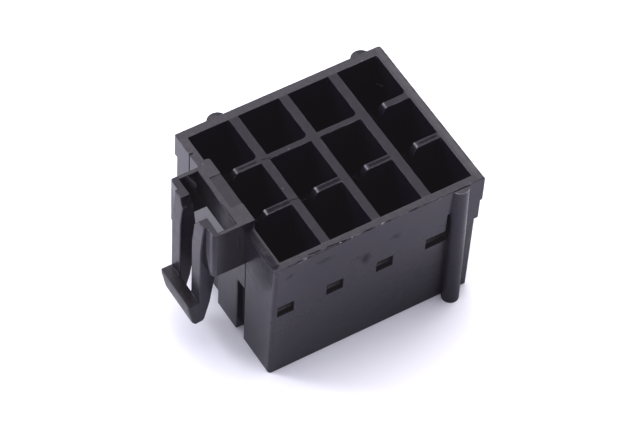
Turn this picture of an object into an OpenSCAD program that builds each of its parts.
// Twelve-way latching connector housing: one nylon moulding, wire-entry end up, mating end on the table.
// Units are millimetres. The origin is the centre of the mating face, +Z up, columns along X, rows along Y.

/* [Cavity grid] */
// Distance between neighbouring cavity columns
col_pitch = 5.08; // [4.5:0.01:5.6]
// Distance between neighbouring cavity rows
row_pitch = 5.19; // [4.6:0.01:5.8]
// Thickness of the walls between columns, at the wire-entry end
col_wall = 0.93; // [0.6:0.01:1.2]
// Thickness of the full wall between the back and the middle row
row_wall = 0.6; // [0.4:0.01:0.9]
// Thickness of the part-width ribs between rows
rib_t = 0.68; // [0.4:0.01:0.9]
// How far the part-width ribs reach across a cavity
rib_reach = 2.84; // [1.5:0.01:3.2]
// Height of the lead-in at the upper end of a rib
lead_h = 1.05; // [0.8:0.05:1.6]
// How far the lead-in leans back at the rim
lead_in = 0.42; // [0.36:0.02:0.8]
// Depth of the wide wire-entry pockets below the rim
entry_depth = 7.6; // [5:0.1:7.9]
// Half of the clear depth of the cavity block, front to back
cav_half_y = 7.88; // [7:0.01:8.2]
// Radius of the fillet in the front right corner of each back-row pocket
corner_r = 0.45; // [0.1:0.05:0.6]

/* [Contact chambers] */
// Chamber width, along the columns
chamber_x = 3.4; // [2.6:0.05:3.8]
// Chamber depth, along the rows
chamber_y = 3.9; // [2.8:0.05:4.2]
// Height of the shoulder that the contact tip rests on
shoulder_z = 4; // [2:0.1:6]
// Diameter of the contact bore through the mating face
bore_d = 2.9; // [2:0.05:3.3]

/* [Body] */
// Height of the body, mating face to rim
body_h = 15.35; // [12:0.05:18]
// Left face of the body, distance from the middle
left_x = 10.52; // [10:0.01:11.5]
// Right face of the body below the collar
right_x = 10.16; // [9.6:0.01:10.4]
// Right face of the shoulder band under the collar
band_x = 10.51; // [10:0.01:10.7]
// Right face of the collar
collar_x = 10.72; // [10:0.01:11]
// Front face at the rim, distance from the middle
front_y = 8.64; // [8.3:0.01:9]
// Back face below the collar, distance from the middle
back_y = 8.38; // [8.2:0.01:8.8]
// Back face of the collar, distance from the middle
collar_y = 8.8; // [8.4:0.01:9.2]
// Height of the collar at the back
collar_h = 2.75; // [1.5:0.05:4]
// Height of the collar on the right
collar_right_h = 3.25; // [1.5:0.05:4]
// Height of the shoulder band under the collar
band_h = 2.5; // [1:0.05:4]
// Draft of the front face: how far its foot sits behind its rim
front_draft = 0.42; // [0:0.01:0.6]

/* [Keys] */
// Radius of the half-round back keys
key_r = 1.0; // [0.6:0.05:1.4]
// Radius of the half-round front key at its upper end
front_key_r = 0.95; // [0.6:0.01:1.4]
// Radius of the half-round front key at its foot
front_key_foot_r = 0.82; // [0.6:0.01:1.4]
// How far the upper end of the front key's axis sits inside the rim of the front face
front_key_in = 0.39; // [0:0.01:0.6]
// Distance of the upper end of the front key from the middle
front_key_x = 8.28; // [7:0.01:9]
// How far the foot of the front key stands forward of its upper end
front_key_out = 0.54; // [0:0.01:0.8]
// How far the foot of the front key stands to the left of its upper end
front_key_side = 0.18; // [0:0.01:0.4]
// Distance of the right-hand back key from the middle
key_right_x = 8.43; // [7:0.01:9]
// Distance of the left-hand back key from the middle
key_left_x = 6.38; // [5:0.01:8]
// Gap between the rim and the top of a key
key_drop = 0.15; // [0:0.05:2]

/* [Front windows] */
// Width of a window
win_w = 1.68; // [1:0.01:2.5]
// Height of a window
win_h = 1.4; // [0.8:0.01:2]
// Lower edge of the windows
win_z = 8.36; // [6:0.01:10]

/* [Left face] */
// Top of the slots in the left face
slot_top = 7.3; // [5:0.1:9]
// Depth of the slots in the left face
slot_depth = 0.72; // [0.4:0.01:1.1]
// Width of the slot beside the front column
slot_w = 1.32; // [0.8:0.01:2]
// Position of the front edge of the front slot
slot_y = -3.79; // [-5:0.01:-3]
// Width of the middle pad
pad_w = 3.3; // [2:0.01:4.5]
// Position of the seam in front of the back left corner
seam_y = 6.1; // [4:0.05:7]
// Width of the seams beside the corner columns
seam_w = 0.1; // [0.06:0.01:0.3]

/* [Latch yoke] */
// Outer face of the yoke, distance from the middle
yoke_x = 13.77; // [12.5:0.01:14.5]
// Half width of the yoke
yoke_half = 3.72; // [3:0.01:4.5]
// Height of the yoke above the rim
yoke_rise = 1.27; // [0.5:0.01:2]
// Height of the yoke, top to lower edge
yoke_h = 5.6; // [3:0.05:8]
// Thickness of the side walls of the yoke
yoke_side = 0.4; // [0.3:0.01:0.8]
// Thickness of the outer wall of the yoke
yoke_outer = 0.62; // [0.4:0.01:0.9]
// Width of the bridge along the rim
bridge_w = 1.64; // [1:0.01:2.2]
// Height of the bridge
bridge_h = 3.17; // [1.5:0.01:5]
// Distance of the finger step from the outer edge of the bridge
step_in = 0.5; // [0.3:0.01:1]
// Depth of the finger step in the top of the bridge
step_d = 0.08; // [0.05:0.01:0.4]
// How far the bridge runs past the yoke at the back
bridge_end = 0.42; // [0:0.01:1]
// Width of the opening in the outer wall
gate_w = 2.96; // [2:0.01:4]

/* [Latch lever] */
// Outer face of the lever arms, distance from the middle
arm_x = 14.36; // [13.9:0.01:14.8]
// Thickness of the lever arms
arm_t = 1.54; // [1.2:0.01:1.8]
// Half width of the lever
lever_half = 2.5; // [2:0.01:3.2]
// Clear width between the arms
arm_gap = 1.96; // [1:0.01:2.6]
// Height of the catch ledge above the mating face
ledge_z = 6.42; // [4:0.01:8]
// Outer tip of the catch ledge, distance from the middle
catch_x = 15.45; // [15.2:0.01:16]
// Lowest point of the lever above the mating face
tip_z = 3.42; // [1:0.01:4]

/* [Hidden] */
$fn = 64;
eps = 0.01;
rim = body_h;
top = body_h + yoke_rise;
collar_z = body_h - collar_h;
collar_right_z = body_h - collar_right_h;
band_z = collar_right_z - band_h;
front_key_h = body_h - key_drop;
front_key_slope = (front_key_r - front_key_foot_r) / front_key_h;
key_edge = front_key_x - front_key_r + 0.03;
entry_z = body_h - entry_depth;
lead_r = (lead_h * lead_h + lead_in * lead_in) / (2 * lead_in);
cell_x = col_pitch - col_wall;
inner_x = 2 * col_pitch - col_wall / 2;
yoke_z = top - yoke_h;
bridge_x = inner_x + bridge_w;
slot_x = left_x - slot_depth;
pad_y = slot_y + slot_w;
nylon = [0.16, 0.16, 0.175];

function col_c(i) = (i - 1.5) * col_pitch;
function row_c(j) = (j - 1) * row_pitch;

// Block between two corners given as [x, y, z]
module box(a, b) {
    translate(a) cube(b - a);
}

// Plan with four corner radii, given as front left, front right, back right, back left; 0 leaves a corner square
module plan(x0, x1, y0, y1, r) {
    difference() {
        translate([x0, y0]) square([x1 - x0, y1 - y0]);
        if (r[0] > 0) translate([x0 - eps, y0 - eps]) square(r[0] + eps);
        if (r[1] > 0) translate([x1 - r[1], y0 - eps]) square(r[1] + eps);
        if (r[2] > 0) translate([x1 - r[2], y1 - r[2]]) square(r[2] + eps);
        if (r[3] > 0) translate([x0 - eps, y1 - r[3]]) square(r[3] + eps);
    }
    if (r[0] > 0) translate([x0 + r[0], y0 + r[0]]) circle(r[0]);
    if (r[1] > 0) translate([x1 - r[1], y0 + r[1]]) circle(r[1]);
    if (r[2] > 0) translate([x1 - r[2], y1 - r[2]]) circle(r[2]);
    if (r[3] > 0) translate([x0 + r[3], y1 - r[3]]) circle(r[3]);
}

// One storey of the body
module storey(z0, z1, x1, y1) {
    box([-left_x, -front_y, z0], [x1, y1, z1]);
}

// Shape drawn in X and Z, drawn out along Y
module along_y(y0, y1) {
    translate([0, y1, 0]) rotate([90, 0, 0]) linear_extrude(y1 - y0) children();
}

// Shape drawn in Y and Z, drawn out along X
module along_x(x0, x1) {
    translate([x0, 0, 0]) rotate([90, 0, 90]) linear_extrude(x1 - x0) children();
}

// Windows through the front wall, the last one ending at the front key
module windows() {
    for (i = [0:3]) {
        x = i == 0 ? -10.06 : col_c(i) - col_pitch / 2;
        w = i == 3 ? key_edge + 0.4 - x : win_w;
        box([x, -front_y - 1, win_z], [x + w, -row_pitch - chamber_y / 2 + 0.5, win_z + win_h]);
    }
    // slit beside the front key
    box([key_edge - 0.3, -front_y - 1, win_z + win_h - 0.5], [key_edge + 0.4, -front_y + 0.6, win_z + 3.8]);
}

// Front key, thinner and further forward at its foot
module front_key() {
    intersection() {
        translate([front_key_x - front_key_side, -front_y + front_key_in - front_key_out, 0])
            rotate([-atan(front_key_out / front_key_h), atan(front_key_side / front_key_h), 0])
                translate([0, 0, -1])
                    cylinder(r1 = front_key_foot_r - front_key_slope, r2 = front_key_r + front_key_slope, h = front_key_h + 2);
        box([front_key_x - 2, -front_y - 2, 0], [front_key_x + 1.4, -front_y + 1.2, front_key_h]);
    }
}

// Outside of the body with its collar and keys
module body() {
    difference() {
        union() {
            storey(0, band_z, right_x, back_y);
            storey(band_z, collar_right_z, band_x, back_y);
            storey(collar_right_z, rim, collar_x, back_y);
            storey(collar_z, rim, collar_x, collar_y);
        }
        // draft of the front face
        along_x(-left_x - 1, collar_x + 1)
            polygon([[-front_y, rim], [-front_y - 1, rim], [-front_y - 1, -1], [-front_y + front_draft, -1], [-front_y + front_draft, 0]]);
        // slots between the corner columns and the middle pad
        box([-left_x - 1, slot_y, -1], [-slot_x, pad_y, slot_top]);
        box([-left_x - 1, pad_y + pad_w, -1], [-slot_x, -slot_y, slot_top]);
        // seams beside the corner columns
        box([-left_x - 1, slot_y, slot_top - 1], [-left_x + 0.3, slot_y + seam_w, yoke_z + 0.1]);
        box([-left_x - 1, seam_y, -1], [-left_x + 0.3, seam_y + seam_w, rim + 1]);
        windows();
    }
    front_key();
    for (x = [-key_left_x, key_right_x])
        translate([x, back_y, 0]) cylinder(r = key_r, h = rim - key_drop);
}

// Part-width rib springing from the right-hand wall of column i, its free end leaning back in a lead-in near the rim
module part_rib(i, y) {
    x1 = col_c(i) + cell_x / 2;
    tip = x1 - rib_reach;
    intersection() {
        box([tip, y - rib_t / 2, entry_z - 1], [x1 + 1, y + rib_t / 2, rim]);
        union() {
            box([tip - 1, y - rib_t, entry_z - 2], [x1 + 2, y + rib_t, rim - lead_h]);
            box([tip + lead_r, y - rib_t, entry_z - 2], [x1 + 5, y + rib_t, rim + 1]);
            translate([tip + lead_r, y + rib_t, rim - lead_h]) rotate([90, 0, 0]) cylinder(r = lead_r, h = 2 * rib_t);
        }
    }
}

// Fillet that fills the front right corner of the back-row pocket of column i, y being the wall it stands on
module corner_fillet(i, y) {
    x1 = col_c(i) + cell_x / 2;
    difference() {
        box([x1 - corner_r, y - 0.1, entry_z - 1], [x1 + 1, y + corner_r, rim]);
        translate([x1 - corner_r, y + corner_r, entry_z - 2]) cylinder(r = corner_r, h = entry_depth + 4);
    }
}

// Wire-entry pocket of one column, less its ribs and walls
module entry(i) {
    y = row_pitch / 2;
    full = i == 1 || i == 2;
    difference() {
        box([col_c(i) - cell_x / 2, -cav_half_y, entry_z], [col_c(i) + cell_x / 2, cav_half_y, top + 1]);
        part_rib(i, -y);
        if (full)
            box([col_c(i) - cell_x, y - row_wall / 2, entry_z - 1], [col_c(i) + cell_x, y + row_wall / 2, rim]);
        else
            part_rib(i, y);
        corner_fillet(i, y + (full ? row_wall : rib_t) / 2);
    }
}

// Contact chamber and bore under one wire entry
module chamber(i, j) {
    translate([col_c(i), row_c(j), 0]) {
        translate([-chamber_x / 2, -chamber_y / 2, shoulder_z]) cube([chamber_x, chamber_y, entry_z - shoulder_z + eps]);
        translate([0, 0, -1]) cylinder(d = bore_d, h = shoulder_z + 2);
    }
}

// Guard around the latch, joined to the body by the bridge along the rim
module yoke() {
    difference() {
        union() {
            // bridge with its rounded back end
            box([-bridge_x, -yoke_half, top - bridge_h], [-inner_x, yoke_half, top]);
            translate([0, 0, rim - 1]) linear_extrude(yoke_rise + 1)
                plan(-left_x, -inner_x, yoke_half - 1.5, yoke_half + bridge_end, [0, 0, 0.3, 0.3]);
            difference() {
                translate([0, 0, yoke_z]) linear_extrude(yoke_h)
                    plan(-yoke_x, -left_x + 0.3, -yoke_half, yoke_half, [0.38, 0, 0, 0]);
                // pocket between bridge and outer wall
                box([-yoke_x + yoke_outer, -yoke_half + yoke_side, yoke_z - 1], [-left_x, yoke_half - yoke_side, top + 1]);
                // opening between the two outer columns
                box([-yoke_x - 1, -gate_w / 2, yoke_z - 1], [-yoke_x + yoke_outer + 0.5, gate_w / 2, top + 1]);
            }
        }
        // shallow finger step in the top of the bridge
        box([-bridge_x + step_in, -1.6, top - step_d], [-inner_x + 1, 2.2, top + 1]);
    }
}

// Lever: two arms hanging from the outer columns, joined by the catch bar across their outer faces
module lever() {
    arm_in = arm_x - arm_t;
    difference() {
        along_y(-lever_half, lever_half)
            polygon([
                [-arm_x + 0.29, top], [-arm_x, ledge_z + 7.13], [-arm_x, ledge_z],
                [-catch_x, ledge_z], [-catch_x + 0.02, ledge_z - 0.57], [-catch_x + 0.45, tip_z + 0.28], [-catch_x + 0.67, tip_z],
                [-catch_x + 1.47, tip_z + 0.08], [-arm_in - 0.98, tip_z + 0.3], [-arm_in - 0.46, ledge_z - 0.56],
                [-arm_in - 0.22, ledge_z + 1.19], [-arm_in, ledge_z + 2.73], [-arm_in, ledge_z + 6.63], [-yoke_x + yoke_outer, top]
            ]);
        // window between the arms
        along_x(-catch_x - 1, -arm_in + 1)
            polygon([
                [-arm_gap / 2, ledge_z], [arm_gap / 2, ledge_z], [arm_gap / 2, top - 0.87], [gate_w / 2, top - 0.17], [gate_w / 2, top + 1],
                [-gate_w / 2, top + 1], [-gate_w / 2, top - 0.17], [-arm_gap / 2, top - 0.87]
            ]);
        // the same window running on down behind the catch bar
        box([-arm_x, -arm_gap / 2, tip_z - 1], [-arm_in + 1, arm_gap / 2, ledge_z + 1]);
    }
}

// The whole moulding
module housing() {
    color(nylon) difference() {
        union() {
            body();
            yoke();
            lever();
        }
        for (i = [0:3]) {
            entry(i);
            for (j = [0:2]) chamber(i, j);
        }
    }
}

housing();
